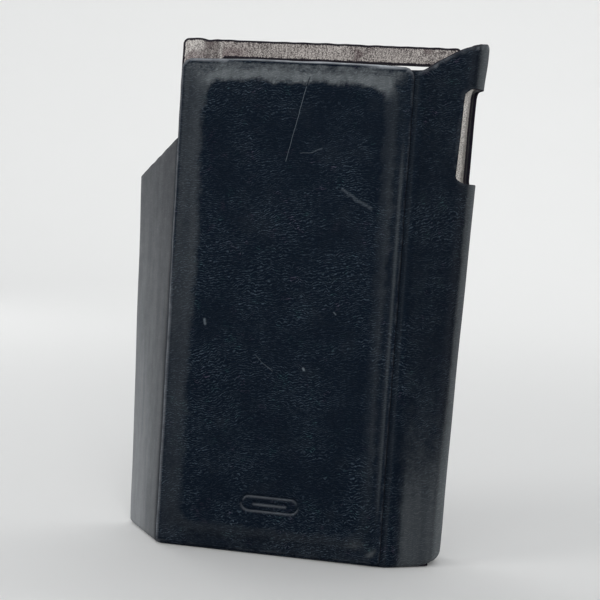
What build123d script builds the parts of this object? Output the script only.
from build123d import *
import os

# Fitted leather case for a pocket music player, millimetres.
# It stands on its closed end with its mouth up (+Z). The moulded back panel faces -Y and the screen window +Y.

# Layers of every wall, counted inwards from the outside
leather = 0.8
board = 0.3
lining = 0.4
leather_layer = (0.0, leather)
board_layer = (leather, leather + board)
lining_layer = (leather + board, leather + board + lining)
wall = leather + board + lining

# Back panel: a moulded cover glued over the back of the case
panel_width = 50.6
panel_foot = 1.0
panel_top = 108.5
panel_left = -25.75
panel_right = panel_left + panel_width
panel_skin = 0.6
panel_corner = 2.0
shoulder_start = 2.0        # from the panel's edge to where the raised field begins to rise
shoulder_end = 4.6          # from the panel's edge to the flat top of the raised field
raised_height = 1.0
field_corner = 5.0

# Section of the body: flat back, slanted left wall, bevel and bulging side on the right, flat front
back_y = -8.4
fold_y = -2.8
bulge_y = 0.8
front_y = 10.0
case_height = 116.4


def section(fold_x, bulge_x, front_right, front_left):
    return [(panel_left, back_y), (panel_right, back_y), (fold_x, fold_y), (bulge_x, bulge_y),
            (front_right, front_y), (front_left, front_y)]


foot_section = section(35.25, 37.25, 34.45, -37.25)
mouth_section = section(37.35, 39.95, 37.25, -40.65)
back_wall = [0, 1]
bevel_wall = [1, 2]
side_wall = [2, 3, 4]
front_wall = [4, 5]
left_wall = [5, 0]

# Openings
window_left = -21.75
window_right = 29.15
window_foot = 13.5
window_top = 111.6
window_corner = 2.5
wheel_edge = -31.05         # where the front frame stops beside the player's volume wheel
wheel_floor = 82.0
wheel_corner = 4.0
notch_near = -3.8
notch_far = 7.0
notch_foot = 85.0
notch_top = 106.0
notch_corner = 1.2
port_length = 14.0
port_width = 6.5
port_y = 1.0

reach = 60.0                # more than half of any size, so that a cutter passes right through


def inset(points, distance):
    """Corners of the outline moved inwards by a distance, with mitred corners."""
    moved = []
    for before, corner, after in zip(points[-1:] + points[:-1], points, points[1:] + points[:1]):
        here = Vector(*corner)
        along = (here - Vector(*before)).normalized()
        onward = (Vector(*after) - here).normalized()
        inwards = Vector(-along.Y, along.X)
        next_inwards = Vector(-onward.Y, onward.X)
        moved.append(here + (inwards + next_inwards) * (distance / (1 + inwards.dot(next_inwards))))
    return moved


def corner_at(index, distance, height):
    """One corner of the inset outline at a height: it runs straight from the foot to the mouth."""
    low = inset(foot_section, distance)[index]
    high = inset(mouth_section, distance)[index]
    return low + (high - low) * (height / case_height)


def outline_at(distance, height):
    return [tuple(corner_at(index, distance, height))[:2] for index in range(len(foot_section))]


def wall_section(corners, layer, height):
    """Section of one wall's layer, closed by the mitres at its two ends."""
    outer = [corner_at(index, layer[0], height) for index in corners]
    inner = [corner_at(index, layer[1], height) for index in reversed(corners)]
    return [tuple(point)[:2] for point in outer + inner]


def save(piece, label):
    piece.part.label = label
    export_step(piece.part, f"parts/{label}.step")


def make_wall(label, corners, layer, cuts):
    """One layer of one wall, standing on the same layer of the bottom."""
    with BuildPart() as piece:
        for height in (layer[1], case_height):
            with BuildSketch(Plane.XY.offset(height)):
                Polygon(*wall_section(corners, layer, height), align=None)
        loft(ruled=True)
        for cut in cuts:
            add(cut, mode=Mode.SUBTRACT)
    save(piece, label)


def make_bottom(label, layer, cuts):
    """One layer of the closed end, inside the same layer of the walls' outsides."""
    with BuildPart() as piece:
        for height in layer:
            with BuildSketch(Plane.XY.offset(height)):
                Polygon(*outline_at(layer[0], height), align=None)
        loft(ruled=True)
        for cut in cuts:
            add(cut, mode=Mode.SUBTRACT)
    save(piece, label)


# Rim: low behind the panel, rising over the bevel, almost level over the side and the front frame
with BuildPart() as rim_cut:
    with BuildSketch(Plane.YZ.offset(-reach)):
        with BuildLine():
            FilletPolyline(
                (-reach, panel_top), (-7.8, panel_top), (-2.6, 115.1), (4.5, case_height), (front_y, 115.9),
                (reach, 115.9), radius=1.5
            )
            Polyline((reach, 115.9), (reach, 2 * case_height), (-reach, 2 * case_height), (-reach, panel_top))
        make_face()
    extrude(amount=2 * reach)

# Wheel recess: a slanted cut through the left wall, and a straight one through the front frame
with BuildPart() as wheel_cut:
    with BuildSketch(Plane.YZ.offset(-reach)):
        with BuildLine():
            Polyline((-reach, 118.5), (reach, 55.5), (reach, 2 * case_height), (-reach, 2 * case_height), close=True)
        make_face()
    extrude(amount=2 * reach)

with BuildPart() as wheel_gap:
    with BuildSketch(Plane.XZ.offset(-reach)):
        with Locations((wheel_edge, wheel_floor)):
            Rectangle(reach, reach, align=(Align.MAX, Align.MIN))
        fillet(vertices().group_by(Axis.X)[-1].sort_by(Axis.Y)[0], wheel_corner)
    extrude(amount=2 * reach)

with BuildPart() as notch_cut:
    with BuildSketch(Plane.YZ.offset(panel_right)):
        with Locations(((notch_near + notch_far) / 2, (notch_foot + notch_top) / 2)):
            RectangleRounded(notch_far - notch_near, notch_top - notch_foot, notch_corner)
    extrude(amount=reach)

with BuildPart() as window_cut:
    with BuildSketch(Plane.XZ):
        with Locations(((window_left + window_right) / 2, (window_foot + window_top) / 2)):
            RectangleRounded(window_right - window_left, window_top - window_foot, window_corner)
    extrude(amount=-reach)

with BuildPart() as port_cut:
    with BuildSketch(Plane.XY):
        with Locations((0, port_y)):
            SlotOverall(port_length, port_width)
    extrude(amount=2 * wall)

os.makedirs("parts", exist_ok=True)

layers = {"leather": leather_layer, "board": board_layer, "lining": lining_layer}
for layer_name, layer in layers.items():
    make_wall(f"back_body_{layer_name}", back_wall, layer, [rim_cut.part])
    make_wall(f"left_wall_{layer_name}", left_wall, layer, [wheel_cut.part])
    make_wall(f"right_bevel_{layer_name}", bevel_wall, layer, [rim_cut.part, notch_cut.part])
    make_wall(f"right_side_{layer_name}", side_wall, layer, [rim_cut.part, notch_cut.part])
    make_wall(f"front_frame_{layer_name}", front_wall, layer, [rim_cut.part, wheel_gap.part, window_cut.part])
    make_bottom(f"bottom_{layer_name}", layer, [port_cut.part])

# Back panel and the pad that raises its field
panel_middle = (panel_left + panel_right) / 2
panel_centre = (panel_foot + panel_top) / 2
panel_height = panel_top - panel_foot


def field_outline(margin, corner):
    """Rounded outline of the raised field, a margin inside the panel's edge."""
    with Locations((panel_middle, panel_centre)):
        RectangleRounded(panel_width - 2 * margin, panel_height - 2 * margin, corner)


with BuildPart() as panel_pad:
    with BuildSketch(Plane.XZ.offset(-back_y)):
        field_outline(shoulder_start + panel_skin, field_corner)
    with BuildSketch(Plane.XZ.offset(-back_y + raised_height)):
        field_outline(shoulder_end + panel_skin / 2, field_corner)
    loft()
save(panel_pad, "back_panel_pad")

with BuildPart() as panel_leather:
    with BuildSketch(Plane.XZ.offset(-back_y)):
        field_outline(0, panel_corner)
    extrude(amount=panel_skin)
    with BuildSketch(Plane.XZ.offset(-back_y + panel_skin)):
        field_outline(shoulder_start, field_corner)
    with BuildSketch(Plane.XZ.offset(-back_y + panel_skin + raised_height)):
        field_outline(shoulder_end, field_corner)
    loft()
    fillet(panel_leather.faces().sort_by(Axis.Y)[0].edges(), raised_height)
    add(panel_pad.part, mode=Mode.SUBTRACT)
save(panel_leather, "back_panel_leather")
